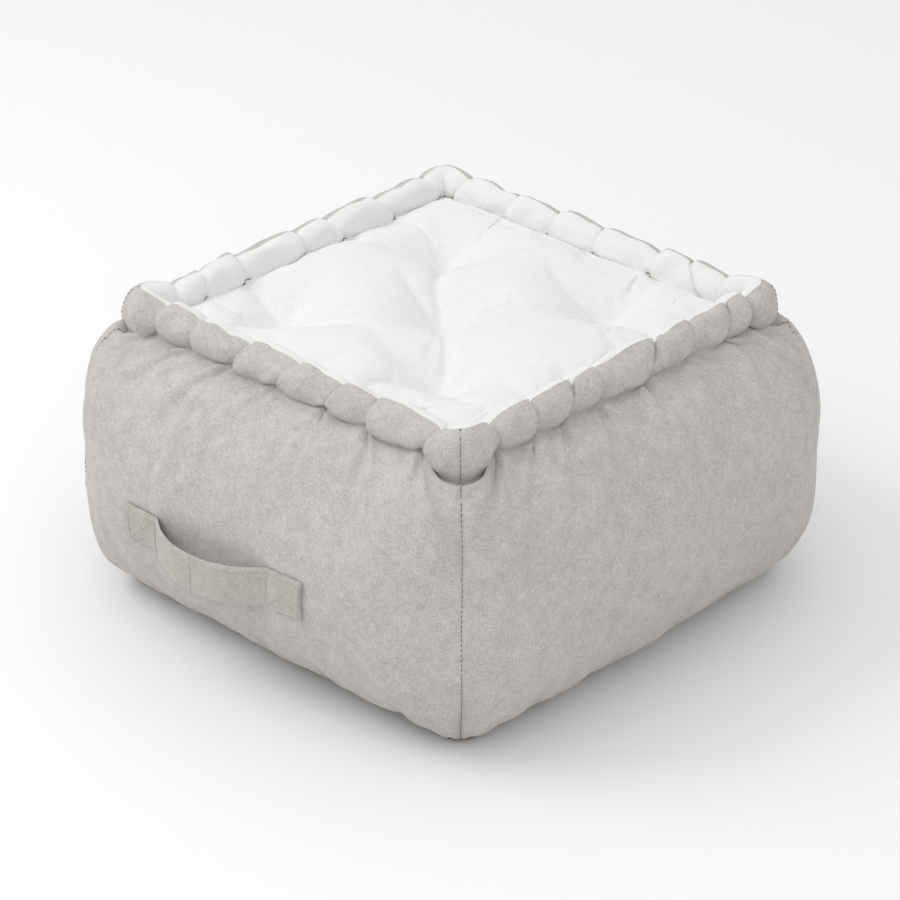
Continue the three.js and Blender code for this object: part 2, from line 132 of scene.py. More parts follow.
class CushionColours(bpy.types.PropertyGroup):
    """The colours of the cloths and threads."""

    canvas: colour("Canvas", (0.517, 0.493, 0.468), "Grey-beige canvas of the sides")
    top: colour("Top", (0.80, 0.80, 0.79), "White canvas of the seat")
    thread: colour("Thread", (0.20, 0.15, 0.11), "Dark thread of the seams")
    pale_thread: colour("Pale thread", (0.60, 0.57, 0.53), "Pale thread of the strap")
    twine: colour("Twine", (0.24, 0.21, 0.18), "Quilting twine of the edge")
    white_thread: colour("White thread", (0.80, 0.80, 0.78), "White thread of the ties and crest")
    strap: colour("Strap", (0.47, 0.44, 0.405), "Canvas of the strap")
    wadding: colour("Wadding", (0.80, 0.79, 0.76), "Filling")
    floor: colour("Floor", (0.88, 0.88, 0.88), "Plain studio floor")


# The grooves that the edge twine pinches across each roll, from the outer crease over the crest
# to the inner crease: millimetres along the side from its middle, and the depth's share.
GROOVES = {
    "front": [
        (-192, -172, -160, 1.0),
        (-140, -128, -118, 0.9),
        (-83, -54, -50, 1.0),
        (-19, 11, 8, 0.8),
        (53, 67, 62, 1.1),
        (113, 111, 118, 1.0),
        (185, 190, 166, 1.6),
    ],
    "right": [
        (-187, -172, -160, 1.5),
        (-136, -118, -120, 1.1),
        (-96, -62, -70, 1.1),
        (-43, -30, -18, 0.7),
        (24, 56, 50, 1.2),
        (93, 104, 96, 0.7),
        (154, 160, 140, 1.2),
        (193, 186, 170, 1.0),
    ],
    "back": [
        (-186, -172, -174, 1.0),
        (-138, -128, -140, 0.9),
        (-76, -88, -80, 1.0),
        (-22, -10, -14, 0.9),
        (38, 46, 44, 1.0),
        (92, 104, 99, 0.8),
        (160, 172, 165, 1.0),
    ],
    "left": [
        (-184, -174, -167, 1.0),
        (-116, -100, -106, 1.0),
        (-48, -32, -38, 0.9),
        (20, 8, 11, 1.0),
        (70, 92, 87, 1.0),
        (128, 138, 134, 0.9),
        (186, 176, 172, 1.0),
    ],
}
TUFTS = ((-101, 98), (104, 112), (86, -102), (-122, -110), (-4, -8))  # mm from the middle

# Creases in the seat: the places they run through in millimetres, then depth and width.
SEAT_FOLDS = (
    ([(-101, 98), (-140, 112), (-165, 116)], 6, 6),
    ([(-101, 98), (-125, 116), (-143, 128)], 6, 6),
    ([(-101, 98), (-47, 28), (-4, -8)], 9, 12),
    ([(-101, 98), (-72, 112), (-30, 128), (-10, 150)], 4, 14),
    ([(-101, 98), (-130, 62), (-178, 40)], 4, 14),
    ([(-4, -8), (-44, 0), (-76, 8)], 6, 6),
    ([(-4, -8), (-42, 17), (-70, 28)], 6, 6),
    ([(-4, -8), (24, 25), (58, 60), (104, 112)], 7, 14),
    ([(104, 112), (50, 106), (-8, 130)], 8, 16),
    ([(104, 112), (106, 140), (101, 168)], 6, 9),
    ([(104, 112), (150, 96), (182, 92)], 5, 12),
    ([(-122, -110), (-152, -100), (-190, -97)], 8, 10),
    ([(-122, -110), (-158, -140), (-186, -158)], 6, 9),
    ([(-122, -110), (-70, -108), (-22, -100), (41, -111), (86, -102)], 8, 14),
    ([(-122, -110), (-52, -68), (-4, -8)], 4, 17),
    ([(-4, -8), (40, -50), (86, -102)], 3, 20),
    ([(86, -102), (108, -74), (133, -48)], 5, 13),
    ([(86, -102), (130, -130), (172, -150)], 5, 14),
    ([(86, -102), (60, -140), (52, -180)], 5, 12),
)


def smooth(x):
    """An even step from 0 to 1."""
    x = np.clip(x, 0.0, 1.0)
    return x * x * (3 - 2 * x)


class Noise:
    """Smooth seeded noise: a sum of waves in random directions, about -1 to 1."""

    def __init__(self, seed, size, waves=24):
        rng = np.random.default_rng(seed)
        turn = rng.uniform(0, 2 * np.pi, waves)
        tilt = rng.uniform(-1, 1, waves)
        flat = np.sqrt(1 - tilt**2)
        speed = 2 * np.pi / size * rng.uniform(0.6, 1.5, waves)
        self.k = np.stack([flat * np.cos(turn), flat * np.sin(turn), tilt], 1) * speed[:, None]
        self.phase = rng.uniform(0, 2 * np.pi, waves)

    def __call__(self, points):
        return np.sin(points @ self.k.T + self.phase).sum(-1) / np.sqrt(len(self.phase))


def ring_places(pinches, level, calm=0.0):
    """Side number and place along the side, from -1 to 1, of every column round the cushion at a
    roll level. A column follows each groove, and calm, from 0 to 1, spreads the columns evenly."""
    column = np.arange(4 * COLUMNS)
    corners = np.arange(5)
    marks = np.concatenate([corners * COLUMNS, np.round(pinches[:, 0] * COLUMNS)])
    ends = np.concatenate([corners, at_level(pinches, level)])
    order = np.argsort(marks)
    marks, ends = marks[order], ends[order]
    before = np.searchsorted(marks, column, side="right") - 1
    share = (column - marks[before]) / (marks[before + 1] - marks[before])
    share -= 0.5 * np.sin(2 * np.pi * share) / (2 * np.pi)
    place = ends[before] + (ends[before + 1] - ends[before]) * share
    place += (column / COLUMNS - place) * calm
    side = column // COLUMNS
    return side, 2 * (place - side) - 1


def at_level(pinches, level):
    """Places of the grooves at a roll level: 0 outer crease, 1 crest, 2 inner crease."""
    return np.array([np.interp(level, [0, 1, 2], row[:3]) for row in pinches])


def turned(side, across, out):
    """Side-frame coordinates as x and y: the front side looks along -y, the others by turns."""
    angle = np.asarray(side) * np.pi / 2
    cos, sin = np.round(np.cos(angle)), np.round(np.sin(angle))
    return across * cos + out * sin, across * sin - out * cos


def outline(side, along, half, bulge, corner):
    """Point and outward direction of the plan outline of one level."""
    straight = half - corner
    travel = np.abs(along) * (straight + corner * np.pi / 4)
    turn = np.maximum(travel - straight, 0) / corner
    reach = corner + bulge * (1 - along**2)
    across = np.sign(along) * (np.minimum(travel, straight) + reach * np.sin(turn))
    x, y = turned(side, across, straight + reach * np.cos(turn))
    nx, ny = turned(side, np.sign(along) * np.sin(turn), np.cos(turn))
    return x, y, nx, ny


def grooves(sizes):
    """Every groove round the cushion: its places, in sides, at the outer crease, the crest and
    the inner crease, and its depth."""
    found = []
    crest = sizes.crest_half
    reach = (crest + OUTER_REACH, crest, crest - INNER_REACH)
    for number, side in enumerate(SIDES):
        for *places, depth in GROOVES[side]:
            found.append([number + (p * MM / r + 1) / 2 for p, r in zip(places, reach)] + [depth])
    return np.array(sorted(found))


def lobes(pinches, level, place):
    """For places round the cushion at a roll level: how far along its lobe each one is, from 0
    to 1, the depth of the grooves beside it, and the lobe's number."""
    centre = at_level(pinches, level)
    centre = np.concatenate([centre[-1:] - 4, centre, centre[:1] + 4])
    depth = np.concatenate([pinches[-1:, 3], pinches[:, 3], pinches[:1, 3]])
    before = np.clip(np.searchsorted(centre, place + 1e-9, side="right") - 1, 0, len(centre) - 2)
    share = np.clip((place - centre[before]) / (centre[before + 1] - centre[before]), 0, 1)
    deep = depth[before] * (1 - share) + depth[before + 1] * share
    return share, deep, before % len(pinches)


def corner_share(along):
    """1 at a corner, falling to 0 where its lobe ends, 14 percent of the half side away."""
    reach = 0.14
    return smooth((np.abs(along) - 1 + reach) / reach)


def roll_point(sizes, pinches, angle, thin=1.0):
    """A row of points on the rolled edge at one angle round the roll; thin scales the roll."""
    level = np.interp(angle, [OUTER_CREASE, CREST, INNER_CREASE], [0, 1, 2])
    side, along = ring_places(pinches, level)
    place = side + (along + 1) / 2
    corner = corner_share(along) * CORNER_PUFF[np.round(place).astype(int) % 4]
    share, deep, lobe = lobes(pinches, level, place)
    swell = (1 - np.abs(2 * share - 1) ** 4) ** (0.52 + 0.25 * min(level, 1))
    if level < 1:
        pinch = 0.38 * (1 - level) ** 2.4 + 0.085  # deepest at the outer crease
    else:
        pinch = 0.19 * (level - 1) ** 2 + 0.075
    plump = np.sin(lobe * 2.4) * 0.05  # no two lobes are alike
    facing = np.where((side == 1) | (side == 2), 1, -1)
    lean = 0.24 * (share - 0.5) * (1 - corner) * facing  # one end of a lobe rides over the next
    fat = 1 + plump + lean + 0.20 * corner * min(level, 1) ** 2 * (level < 1.5)
    radius = thin * sizes.roll_radius * fat * (1 - pinch * deep * (1 - swell))
    out = radius * np.cos(angle) + 0.008 * corner
    lift = radius * np.sin(angle)
    x, y, nx, ny = outline(side, along, sizes.crest_half, 0.0, CREST_CORNER)
    droop = -0.013 * corner * np.clip(1 - level, 0, 1) ** 2 + 0.002 * corner  # corner lobes hang
    droop = droop - 0.0028 * deep * (1 - swell) * (1 - (level - 1) ** 2)  # the crest dips at a groove
    z = sizes.crest_height - sizes.roll_radius + lift + droop
    return np.stack([x + nx * out, y + ny * out, z], -1)


def roll_rows(sizes):
    """The rows of the rolled edge, from the outer crease over the crest to the inner crease."""
    pinches = grooves(sizes)
    angles = np.linspace(OUTER_CREASE, INNER_CREASE, ROLL_ROWS + 1)
    return np.array([roll_point(sizes, pinches, angle) for angle in angles])


def belly_rows(sizes, crease):
    """The rows of the side panels, from the base seam up to the given crease row, the distance of
    each below the crease, and the places of its points round the cushion."""
    turn = np.linspace(-1, 1, 800)  # -1 at the base, 0 at the widest level, 1 at the crease
    low = turn < 0
    up_power = np.where(low, 1.9, 2.3)
    out_power = np.where(low, 1.45, 2.0)
    up = np.abs(np.sin(turn * np.pi / 2)) ** (2 / up_power)
    out = np.maximum(1 - up**up_power, 0) ** (1 / out_power)
    top_half = sizes.crest_half + sizes.roll_radius * math.cos(OUTER_CREASE)
    top_z = sizes.crest_height + sizes.roll_radius * (math.sin(OUTER_CREASE) - 1)
    foot = np.where(low, sizes.base_half, top_half)
    half = foot + (sizes.belly_half - foot) * out
    z = sizes.belly_height + (np.where(low, 0, top_z) - sizes.belly_height) * up
    foot_bulge = np.where(low, 0.003, 0)
    bulge = foot_bulge + (sizes.belly_bulge - foot_bulge) * out
    foot_corner = np.where(low, sizes.base_corner, 0.013)
    corner = foot_corner + (sizes.belly_corner - foot_corner) * out ** np.where(low, 1.7, 1.4)
    travel = np.concatenate([[0], np.cumsum(np.hypot(np.diff(half), np.diff(z)))])
    stops = np.linspace(0, travel[-1], BELLY_ROWS + 1)
    below = travel[-1] - stops
    pinches = grooves(sizes)
    rows, places = [], []
    for stop, down in zip(stops, below):
        here = [float(np.interp(stop, travel, value)) for value in (half, bulge, corner)]
        side, along = ring_places(pinches, 0, 1 - math.exp(-down / 0.06))
        x, y, _, _ = outline(side, along, *here)
        height = float(np.interp(stop, travel, z))
        rows.append(np.stack([x, y, np.full(len(x), height)], -1))
        places.append(side + (along + 1) / 2)
    rows = np.array(rows)
    fade = np.exp(-below / 0.014)[:, None, None]
    return rows + (crease - rows[-1]) * fade, below, np.array(places)


def normals(rows):
    """Outward normals of rows of points that run round the cushion."""
    across = np.roll(rows, -1, 1) - np.roll(rows, 1, 1)
    up = np.gradient(rows, axis=0)
    found = np.cross(across, up)
    return found / np.maximum(np.linalg.norm(found, axis=-1, keepdims=True), 1e-12)


def gathers(sizes, below, places):
    """How far the wrinkles that run down from each pinch, and the small folds under the lobes,
    stand in or out of the side panels."""
    rng = np.random.default_rng(21)
    down = below[:, None]
    width = 2 * (sizes.crest_half + OUTER_REACH + 0.075 * smooth(down / 0.15))
    pinches = grooves(sizes)
    depth = pinch_wrinkles(rng, pinches, places, down, width)
    depth += lobe_folds(rng, pinches, places, down)
    return depth + corner_folds(places, down, width)


def pinch_wrinkles(rng, pinches, places, down, width):
    """Three wrinkles, a valley between two ridges each, that fan out below every pinch."""
    depth = np.zeros(places.shape)
    for outer, _, _, strength in pinches:
        away = ((places - outer + 2) % 4 - 2) * width
        for slant in (rng.uniform(-0.55, -0.15), rng.uniform(-0.1, 0.1), rng.uniform(0.15, 0.55)):
            reach = rng.uniform(0.035, 0.085) * strength
            sigma = 0.0040 + 0.070 * down
            line = away - slant * down
            size = 0.0034 * strength * rng.uniform(0.6, 1.3)
            fade = np.exp(-((down / reach) ** 1.6)) * smooth(down / 0.008)
            valley = -np.exp(-((line / sigma) ** 2))
            ridge = 0.6 * np.exp(-(((np.abs(line) - 1.6 * sigma) / sigma) ** 2))
            depth += size * fade * (valley + ridge)
    return depth


def lobe_folds(rng, pinches, places, down):
    """A small arched fold, a ridge over a valley, below every lobe."""
    depth = np.zeros(places.shape)
    for number in range(len(pinches)):
        start, end = pinches[number, 0], pinches[(number + 1) % len(pinches), 0]
        gap = (end - start) % 4
        share = ((places - start + 4) % 4) / gap
        inside = (share > 0) & (share < 1)
        arch = np.where(inside, np.sin(np.pi * np.clip(share, 0, 1)), 0)
        size = 0.0026 * rng.uniform(0.1, 1.0)
        low = 0.0060 + 0.0070 * arch
        depth += size * arch**0.7 * np.exp(-(((down - low) / 0.0032) ** 2))
        depth -= 1.1 * size * arch**0.7 * np.exp(-(((down - low - 0.0062) / 0.0030) ** 2))
    return depth


def corner_folds(places, down, width):
    """The deeper fold that sags below each corner lobe."""
    near = ((places + 0.5) % 1 - 0.5) * width / 0.036
    smile = np.clip(1 - near**2, 0, 1)
    low = 0.006 + 0.012 * smile
    ridge = np.exp(-(((down - low) / 0.0050) ** 2))
    valley = np.exp(-(((down - low - 0.0095) / 0.0035) ** 2))
    return 0.0050 * smile**0.6 * (ridge - valley)


def patch(edge):
    """A square grid of points inside a closed edge, a quarter of whose points lie on each side."""
    n = len(edge) // 4
    front = edge[0 : n + 1]
    right = edge[n : 2 * n + 1]
    back = edge[2 * n : 3 * n + 1][::-1]
    left = np.concatenate([edge[3 * n :], edge[:1]])[::-1]
    s = np.linspace(0, 1, n + 1)[None, :, None]
    t = np.linspace(0, 1, n + 1)[:, None, None]
    rails = (1 - t) * front[None] + t * back[None] + (1 - s) * left[:, None] + s * right[:, None]
    corners = (1 - s) * (1 - t) * front[0] + s * (1 - t) * front[-1]
    corners = corners + (1 - s) * t * back[0] + s * t * back[-1]
    return rails - corners


def seat(sizes, edge):
    """The grid of the seat between the rolls, pulled down at the ties and along its folds."""
    grid = patch(edge)
    x, y = grid[..., 0] / MM, grid[..., 1] / MM
    half = (sizes.crest_half - sizes.roll_radius) / MM
    room = [np.clip(1 - (np.abs(v) / half) ** 3, 0, 1) for v in (x, y)]
    crown = (room[0] * room[1]) ** 0.42
    pull = np.zeros_like(x)
    for tx, ty in TUFTS:
        away = np.hypot(x - tx, y - ty)
        pull += np.exp(-((away / 44) ** 1.5))
    folds = np.zeros_like(x)
    for line, depth, width in SEAT_FOLDS:
        last = len(line) - 1
        for number, ((ax, ay), (bx, by)) in enumerate(zip(line, line[1:])):
            run = np.array([bx - ax, by - ay], float)
            near = np.clip(((x - ax) * run[0] + (y - ay) * run[1]) / (run @ run), 0, 1)
            away = np.hypot(x - ax - near * run[0], y - ay - near * run[1])
            left = 1 - 0.55 * (number + near) / last
            folds = np.maximum(folds, depth * left * np.exp(-((away / width) ** 1.3)))
    grid[..., 2] += sizes.pillow_rise * crown - sizes.tuft_depth * np.minimum(pull, 1) * crown**0.5
    grid[..., 2] -= folds * MM * crown
    return grid


def cover_points(sizes):
    """The cover before it is filled: rows round the sides and over the rolls, and the seat."""
    roll = roll_rows(sizes)
    belly, below, places = belly_rows(sizes, roll[0])
    facing = normals(belly)
    belly += facing * gathers(sizes, below, places)[..., None]
    seam = ((places + 0.5) % 1 - 0.5) * 2 * sizes.belly_half
    belly -= facing * (0.0016 * np.exp(-((seam / 0.0025) ** 2)))[..., None]
    loose = Noise(3, 0.11)(belly) * 0.0022 + Noise(4, 0.045)(belly) * 0.0007
    ease = smooth(below / 0.05) * smooth(belly[:, 0, 2] / 0.05)
    belly += facing * (loose * ease[:, None])[..., None]
    crumple = Noise(5, 0.032)(roll) * 0.0008
    crumple[[0, -1]] = 0
    roll += normals(roll) * crumple[..., None]
    rows = np.concatenate([belly, roll[1:]])
    return rows, seat(sizes, rows[-1])


def number_grid(rows, columns, start, closed):
    """Vertex numbers of a grid, with the first column repeated where it closes on itself."""
    grid = start + np.arange(rows * columns).reshape(rows, columns)
    return np.concatenate([grid, grid[:, :1]], 1) if closed else grid


def quads(grid):
    """The four corners of every cell of a grid."""
    cells = np.stack([grid[:-1, :-1], grid[:-1, 1:], grid[1:, 1:], grid[1:, :-1]], -1)
    return cells.reshape(-1, 4)


def edge_numbers(grid):
    """Numbers of a square grid's edge, in the order of the ring's columns."""
    return np.concatenate([grid[0, :-1], grid[:-1, -1], grid[-1, :0:-1], grid[:0:-1, 0]])


def mesh_object(name, points, faces):
    """A new mesh in the scene; faces of more than four corners are flat caps."""
    mesh = bpy.data.meshes.new(name)
    mesh.vertices.add(len(points))
    mesh.vertices.foreach_set("co", np.asarray(points, np.float32).ravel())
    faces = [np.asarray(face) for face in faces]
    sizes = np.array([len(face) for face in faces])
    mesh.loops.add(int(sizes.sum()))
    mesh.loops.foreach_set("vertex_index", np.concatenate(faces).astype(np.int32))
    mesh.polygons.add(len(faces))
    starts = np.concatenate([[0], np.cumsum(sizes)[:-1]]).astype(np.int32)
    mesh.polygons.foreach_set("loop_start", starts)
    mesh.polygons.foreach_set("use_smooth", sizes <= 4)
    mesh.update(calc_edges=True)
    mesh.validate()
    thing = bpy.data.objects.new(name, mesh)
    bpy.context.scene.collection.objects.link(thing)
    return thing


def piece(thing, node_names, kind, body="cushion"):
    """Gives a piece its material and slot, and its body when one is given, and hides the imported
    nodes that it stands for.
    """
    thing.data.materials.append(material(kind))
    if body:
        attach(thing, body)
    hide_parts(*node_names)
    return thing


def tubes(name, paths, radius, around=6):
    """A mesh of closed round tubes along open paths; radius is a number or one per point."""
    points, faces = [], []
    start = 0
    turn = np.arange(around) * 2 * np.pi / around
    for path in paths:
        path = np.asarray(path, float)
        size = np.broadcast_to(radius, len(path))[:, None, None]
        along = np.gradient(path, axis=0)
        along /= np.maximum(np.linalg.norm(along, axis=1, keepdims=True), 1e-12)
        steady = np.where(np.abs(along[:, 2:3]) > 0.9, [[1.0, 0, 0]], [[0, 0, 1.0]])
        across = np.cross(along, steady)
        across /= np.maximum(np.linalg.norm(across, axis=1, keepdims=True), 1e-12)
        up = np.cross(across, along)
        rim = across[:, None] * np.cos(turn)[None, :, None] + up[:, None] * np.sin(turn)[None, :, None]
        points.append((path[:, None] + rim * size).reshape(-1, 3))
        grid = number_grid(len(path), around, start, True)
        faces += [*quads(grid)[:, ::-1], grid[0, :-1], grid[-1, :-1][::-1]]
        start += len(path) * around
    return mesh_object(name, np.concatenate(points) + CENTRE, faces)


def spaced(path, step):
    """Points at an even step along a path."""
    travel = np.concatenate([[0], np.cumsum(np.linalg.norm(np.diff(path[:, :3], axis=0), axis=1))])
    stops = np.linspace(0, travel[-1], max(2, round(travel[-1] / step) + 1))
    return np.stack([np.interp(stops, travel, path[:, i]) for i in range(path.shape[1])], 1)


def stitches(path, facing, stitch, gap, lift):
    """Short arched paths along a line on the cloth, each dipping into it at both ends."""
    line = spaced(np.concatenate([path, facing], 1), (stitch + gap) / 8)
    used = round(8 * stitch / (stitch + gap)) + 1
    found = []
    for start in range(0, len(line) - used, 8):
        part = line[start : start + used]
        arch = np.sin(np.pi * np.linspace(0, 1, used)) ** 0.5 * 2 - 1
        found.append(part[:, :3] + part[:, 3:] * (arch * lift)[:, None])
    return found


def number_cover(rows, grid):
    """The points of the whole cover, with the point numbers of its rows and of the seat's grid,
    which share the seat's edge."""
    ring = number_grid(*rows.shape[:2], 0, True)
    inner = grid[1:-1, 1:-1]
    last = ring[-1, :-1]
    n = COLUMNS
    numbers = np.zeros(grid.shape[:2], int)
    numbers[0, :-1] = last[0:n]
    numbers[:-1, -1] = last[n : 2 * n]
    numbers[-1, :0:-1] = last[2 * n : 3 * n]
    numbers[:0:-1, 0] = last[3 * n :]
    start = rows.shape[0] * rows.shape[1]
    numbers[1:-1, 1:-1] = start + np.arange(inner.size // 3).reshape(inner.shape[:2])
    points = np.concatenate([rows.reshape(-1, 3), inner.reshape(-1, 3)])
    return points, ring, numbers


def fill_cover(sizes, rows, points, ring, seat_numbers):
    """Swells the cover on its filling by cloth simulation, held at its seams, creases and ties."""
    faces = np.concatenate([quads(ring), quads(seat_numbers)])
    cloth = mesh_object("cover_cloth", points + CENTRE, faces)
    hold = cloth.vertex_groups.new(name="held")
    weights = held_weights(sizes, rows, points, seat_numbers)
    for weight in np.unique(weights[weights > 0]):
        hold.add([int(i) for i in np.flatnonzero(weights == weight)], float(weight), "REPLACE")
    set_cloth(cloth.modifiers.new("fill", "CLOTH"), hold.name)
    scene = bpy.context.scene
    for number in range(1, FILL_STEPS + 1):
        scene.frame_set(number)
    shaped = cloth.evaluated_get(bpy.context.evaluated_depsgraph_get()).to_mesh()
    filled = np.zeros(len(points) * 3, np.float32)
    shaped.vertices.foreach_get("co", filled)
    filled = filled.reshape(-1, 3).astype(float) - CENTRE
    scene.frame_set(1)
    bpy.data.objects.remove(cloth)
    return kept_folds(rows, points, filled - points)


def set_cloth(swell, held):
    """Canvas on a firm filling."""
    settings = swell.settings
    settings.quality = 6
    settings.mass = 0.25
    settings.tension_stiffness = settings.compression_stiffness = 18
    settings.shear_stiffness = 6
    settings.bending_stiffness = 0.12
    settings.tension_damping = settings.compression_damping = 12
    settings.shear_damping = 8
    settings.bending_damping = 0.6
    settings.air_damping = 4
    settings.vertex_group_mass = held
    settings.shrink_min = -0.035
    settings.use_pressure = True
    settings.uniform_pressure_force = 3.0
    settings.effector_weights.gravity = 0
    swell.collision_settings.use_collision = False
    swell.point_cache.frame_start = 1
    swell.point_cache.frame_end = FILL_STEPS


def kept_folds(rows, points, shift):
    """The cover moved by what the filling did, but without the swelling of its sides as a whole,
    and no further than the cloth could go."""
    count = rows.shape[0] * rows.shape[1]
    ring_shift = shift[:count].reshape(rows.shape)
    broad = blurred(blurred(ring_shift, 9, 1, True), 5, 0, False)
    ring_shift -= broad * 0.85
    distance = np.linalg.norm(shift, axis=1, keepdims=True)
    cap = np.full((len(points), 1), COVER_CAP)
    cap[:count].reshape(rows.shape[0], -1)[BELLY_ROWS:] = ROLL_CAP
    points = points + shift * np.minimum(1, cap / np.maximum(distance, 1e-9))
    points[:, 2] = np.maximum(points[:, 2], 0)
    return points


def held_weights(sizes, rows, points, seat_numbers):
    """How firmly each point is held while the cover fills: 1 is fixed."""
    weights = np.zeros(len(points))
    ring = weights[: rows.shape[0] * rows.shape[1]].reshape(rows.shape[:2])
    ring[0:2] = 1.0
    ring[BELLY_ROWS] = 0.9
    ring[-1] = 0.9
    held = np.round(grooves(sizes)[:, 0] * COLUMNS).astype(int) % (4 * COLUMNS)
    for row in (BELLY_ROWS, rows.shape[0] - 1):
        ring[row, held] = 1.0
    seat_points = points[seat_numbers]
    for tx, ty in TUFTS:
        away = np.hypot(seat_points[..., 0] - tx * MM, seat_points[..., 1] - ty * MM)
        weights[seat_numbers[away < TIE_REACH]] = 1.0
    return weights


def blurred(values, sigma, axis, wrap):
    """Values smoothed along one axis by a bell curve, sigma in steps."""
    reach = int(3 * sigma)
    width = [(0, 0)] * values.ndim
    width[axis] = (reach, reach)
    wide = np.pad(values, width, mode="wrap" if wrap else "edge")
    total = np.zeros_like(values)
    bell = np.exp(-0.5 * (np.arange(-reach, reach + 1) / sigma) ** 2)
    for step, weight in enumerate(bell / bell.sum()):
        total += weight * np.take(wide, range(step, step + values.shape[axis]), axis)
    return total


def panel(name, grid, points):
    """One sewn panel of the cover, cut from the filled cloth by its grid of point numbers."""
    used, index = np.unique(grid, return_inverse=True)
    thing = mesh_object(name, points[used] + CENTRE, quads(index.reshape(grid.shape)))
    placed = points[grid]
    down = np.linalg.norm(np.diff(placed, axis=0), axis=-1).mean(1)
    down = np.concatenate([[0], np.cumsum(down)])[:, None] + np.zeros(grid.shape)
    wide = np.cumsum(np.linalg.norm(np.diff(placed, axis=1), axis=-1), axis=1)
    wide = np.concatenate([np.zeros((len(grid), 1)), wide], 1)
    wide -= wide[:, -1:] / 2
    flat = np.zeros((len(used), 2))
    flat[index.reshape(grid.shape)] = np.stack([wide, down], -1)
    lay_flat(thing, flat)
    finish_cloth(thing, "grey_canvas")
    return thing


def lay_flat(thing, flat):
    """Gives cloth the flat place of each of its points, in metres, which its weave follows."""
    numbers = np.zeros(len(thing.data.loops), np.int32)
    thing.data.loops.foreach_get("vertex_index", numbers)
    layer = thing.data.uv_layers.new(name="cloth")
    layer.uv.foreach_set("vector", flat[numbers].astype(np.float32).ravel())


def finish_cloth(thing, kind):
    """Smooths a panel of the cover and gives it its canvas; it moves with the cushion."""
    finer = thing.modifiers.new("finer", "SUBSURF")
    finer.levels = finer.render_levels = 1
    thing.data.materials.append(material(kind))
    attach(thing, "cushion")


def top_piece(ring, seat_numbers, points):
    """The white top: the seat and the inner halves of the rolls, as one mesh."""
    used = np.unique(np.concatenate([ring[CREST_ROW:, :-1].ravel(), seat_numbers.ravel()]))
    index = np.zeros(used.max() + 1, int)
    index[used] = np.arange(len(used))
    faces = np.concatenate([quads(index[ring[CREST_ROW:]]), quads(index[seat_numbers])])
    thing = mesh_object("top", points[used] + CENTRE, faces)
    lay_flat(thing, points[used][:, :2])
    finish_cloth(thing, "white_canvas")
    return thing


def base_piece(edge):
    """The base, flat on the floor, with a small dimple where each tie pulls it up."""
    grid = patch(edge)
    grid[..., 2] = np.maximum(grid[..., 2], 0) + dimples(grid[..., 0], grid[..., 1])
    numbers = np.arange((COLUMNS + 1) ** 2).reshape(COLUMNS + 1, COLUMNS + 1)
    thing = mesh_object("base", grid.reshape(-1, 3) + CENTRE, quads(numbers)[:, ::-1])
    lay_flat(thing, grid.reshape(-1, 3)[:, :2])
    finish_cloth(thing, "grey_canvas")
    return thing


def dimples(x, y):
    """How high the ties pull the base up at a place in metres from the middle."""
    lift = np.zeros_like(x)
    for tx, ty in TUFTS:
        away = np.hypot(x / MM - tx, y / MM - ty)
        lift += 0.010 * np.clip(1 - (away / 58) ** 2, 0, 1) ** 2
    return lift


class CUSHION_OT_cover(bpy.types.Operator):
    """Build the cover: the four side panels, the seat and the base"""

    bl_idname = "cushion.cover"
    bl_label = "Cover"

    def execute(self, context):
        sizes = context.scene.cushion_sizes
        rows, grid = cover_points(sizes)
        points, ring, seat_numbers = number_cover(rows, grid)
        points = fill_cover(sizes, rows, points, ring, seat_numbers)
        made["ring"] = ring
        made["rows"] = points[: rows.shape[0] * rows.shape[1]].reshape(rows.shape)
        made["seat"] = points[seat_numbers]
        for number, side in enumerate(SIDES):
            columns = slice(number * COLUMNS, (number + 1) * COLUMNS + 1)
            side_panel = panel(f"side_{side}", ring[: CREST_ROW + 1, columns], points)
            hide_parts(f"side_panel_{side}")
        top = top_piece(ring, seat_numbers, points)
        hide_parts("top_panel")
        base = base_piece(points[ring[0, :-1]])
        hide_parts("base_panel")
        return {"FINISHED"}


def body_filling():
    """The loose filling of the body, a little inside the cover, under the rolls."""
    step = 4
    rows = made["rows"][: BELLY_ROWS - 1]
    inside = rows - normals(rows) * 0.006
    rings = inside[::step, ::step]
    rings[0, :, 2] = 0.006
    top = made["seat"][::step, ::step] - [0, 0, 0.013]
    top[..., :2] *= 0.985
    edge = rings[0] * [0.97, 0.97, 1]
    base = patch(edge)
    base[..., 2] = 0.0045 + dimples(base[..., 0], base[..., 1])
    ring = number_grid(*rings.shape[:2], 0, True)
    square = np.arange(base.shape[0] * base.shape[1]).reshape(base.shape[:2])
    low = square + ring.max() + 1
    high = low + low.size
    first, last = edge_numbers(low), edge_numbers(high)
    first, last = np.append(first, first[0]), np.append(last, last[0])
    faces = [quads(ring), quads(np.stack([ring[-1], last])), quads(high)]
    faces += [quads(np.stack([first, ring[0]])), quads(low)[:, ::-1]]
    points = np.concatenate([part.reshape(-1, 3) for part in (rings, base, top)])
    return mesh_object("filling", points + CENTRE, np.concatenate(faces))


def roll_filling(sizes, pinches, number, side):
    """The filling of one roll: a pinched rope of wadding with closed ends."""
    turn = np.linspace(0, 2 * np.pi, 13)[:-1] - np.pi / 2
    ropes = np.stack([roll_point(sizes, pinches, angle, 0.60) for angle in turn], 1)
    rope = ropes[number * COLUMNS + 4 : (number + 1) * COLUMNS - 3]
    grid = number_grid(len(rope), len(turn), 0, True)
    faces = [*quads(grid), grid[0, :-1][::-1], grid[-1, :-1]]
    return mesh_object(f"roll_filling_{side}_soft", rope.reshape(-1, 3) + CENTRE, faces)


